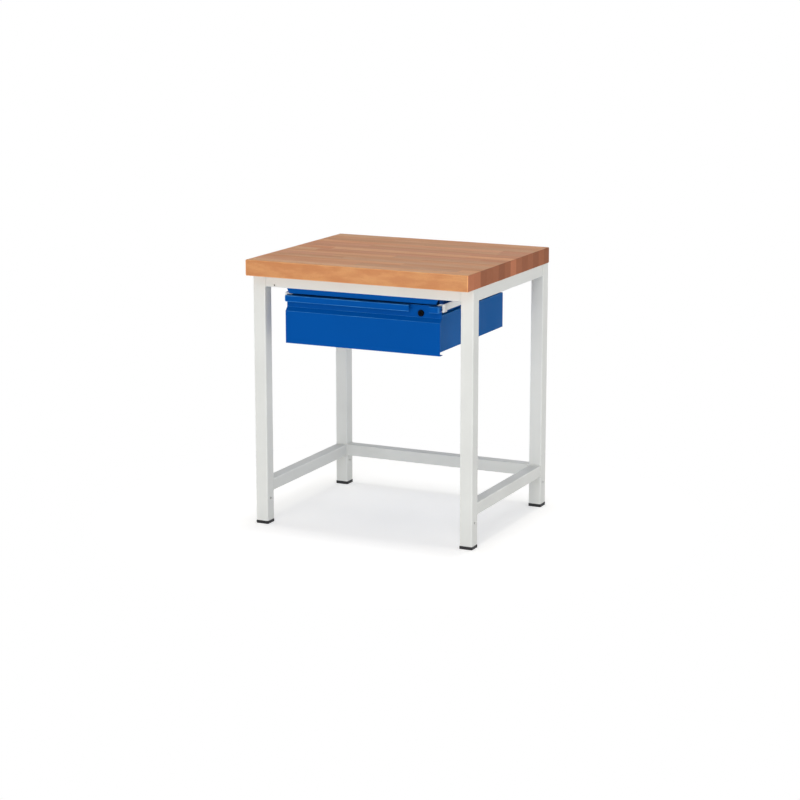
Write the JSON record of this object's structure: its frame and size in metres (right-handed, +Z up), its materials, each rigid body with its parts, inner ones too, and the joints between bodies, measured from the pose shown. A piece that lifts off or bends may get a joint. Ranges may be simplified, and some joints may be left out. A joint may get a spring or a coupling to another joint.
{
  "type": "workshop bench",
  "caption": "Small workshop bench: beech block top on a grey square-tube frame with foot rails and a blue lockable sheet-steel drawer on rollers.",
  "frame": {"origin": "on the floor, under the middle of the worktop", "axes": "+Z up, +X to the right of someone standing at the drawer, -Y towards that person"},
  "size_m": [0.75, 0.65, 0.85],
  "materials": {
    "beech": "oiled beech block, staves along the width, satin",
    "frame_paint": "light grey powder coat, fine texture, satin",
    "runner_paint": "light grey epoxy coat on rolled channel",
    "drawer_paint": "bright blue powder coat, semi-gloss",
    "foot_plastic": "black moulded polyethylene",
    "stop_rubber": "black rubber",
    "nylon": "natural nylon",
    "zinc_hardware": "bright zinc plating",
    "lock_black": "black, semi-gloss"
  },
  "bodies": {
    "frame": {"worktop": "beech", "leg_front_left": "frame_paint", "leg_front_right": "frame_paint", "leg_rear_left": "frame_paint", "leg_rear_right": "frame_paint", "top_rail_front": "frame_paint", "top_rail_rear": "frame_paint", "top_rail_left": "frame_paint", "top_rail_right": "frame_paint", "foot_rail_left": "frame_paint", "foot_rail_right": "frame_paint", "foot_rail_rear": "frame_paint", "foot_plug_front_left": "foot_plastic", "foot_plug_front_right": "foot_plastic", "foot_plug_rear_left": "foot_plastic", "foot_plug_rear_right": "foot_plastic", "top_tab_front_left": "frame_paint", "top_tab_front_right": "frame_paint", "top_tab_rear_left": "frame_paint", "top_tab_rear_right": "frame_paint", "top_screw_front_left": "zinc_hardware", "top_screw_front_right": "zinc_hardware", "top_screw_rear_left": "zinc_hardware", "top_screw_rear_right": "zinc_hardware", "cover_pan": "drawer_paint", "pan_bolt_front_left": "zinc_hardware", "pan_bolt_front_right": "zinc_hardware", "pan_bolt_rear_left": "zinc_hardware", "pan_bolt_rear_right": "zinc_hardware", "runner_left": "runner_paint", "runner_shoe_left": "nylon", "front_roller_pin_left": "zinc_hardware", "travel_stop_left": "stop_rubber", "closing_buffer_left": "stop_rubber", "runner_right": "runner_paint", "runner_shoe_right": "nylon", "front_roller_pin_right": "zinc_hardware", "travel_stop_right": "stop_rubber", "closing_buffer_right": "stop_rubber", "lock_strike": "zinc_hardware"},
    "drawer": {"drawer_front": "drawer_paint", "grip_long": "drawer_paint", "grip_short": "drawer_paint", "drawer_bottom": "drawer_paint", "drawer_back": "drawer_paint", "drawer_side_left": "drawer_paint", "drawer_rail_left": "zinc_hardware", "rear_roller_pin_left": "zinc_hardware", "drawer_side_right": "drawer_paint", "drawer_rail_right": "zinc_hardware", "rear_roller_pin_right": "zinc_hardware", "lock_barrel": "lock_black", "lock_nut": "zinc_hardware"},
    "lock_core": {"lock_plug": "lock_black", "lock_cam": "zinc_hardware", "cam_screw": "zinc_hardware"},
    "front_roller_left": {"front_roller_left": "nylon"},
    "rear_roller_left": {"rear_roller_left": "nylon"},
    "front_roller_right": {"front_roller_right": "nylon"},
    "rear_roller_right": {"rear_roller_right": "nylon"}
  },
  "joints": [
    {"name": "drawer_slide", "type": "slide", "parent": "frame", "child": "drawer", "axis": [0, -1, 0], "range_m": [0, 0.36]},
    {"name": "lock_turn", "type": "hinge", "parent": "drawer", "child": "lock_core", "pos_m": [0.195, -0.2635, 0.7158], "axis": [0, 1, 0], "range_deg": [0, 90]},
    {"name": "front_roller_left_spin", "type": "hinge", "parent": "frame", "child": "front_roller_left", "pos_m": [-0.25825, -0.2474, 0.7344], "axis": [1, 0, 0], "range_deg": [0, 2870]},
    {"name": "rear_roller_left_spin", "type": "hinge", "parent": "drawer", "child": "rear_roller_left", "pos_m": [-0.25825, 0.198, 0.7342], "axis": [1, 0, 0], "range_deg": [0, 2870]},
    {"name": "front_roller_right_spin", "type": "hinge", "parent": "frame", "child": "front_roller_right", "pos_m": [0.25825, -0.2474, 0.7344], "axis": [1, 0, 0], "range_deg": [0, 2870]},
    {"name": "rear_roller_right_spin", "type": "hinge", "parent": "drawer", "child": "rear_roller_right", "pos_m": [0.25825, 0.198, 0.7342], "axis": [1, 0, 0], "range_deg": [0, 2870]}
  ],
  "couplings": [
    {"joint": "front_roller_left_spin", "follows": "drawer_slide", "rad_per_m": 138.89},
    {"joint": "rear_roller_left_spin", "follows": "drawer_slide", "rad_per_m": 138.89},
    {"joint": "front_roller_right_spin", "follows": "drawer_slide", "rad_per_m": 138.89},
    {"joint": "rear_roller_right_spin", "follows": "drawer_slide", "rad_per_m": 138.89}
  ]
}
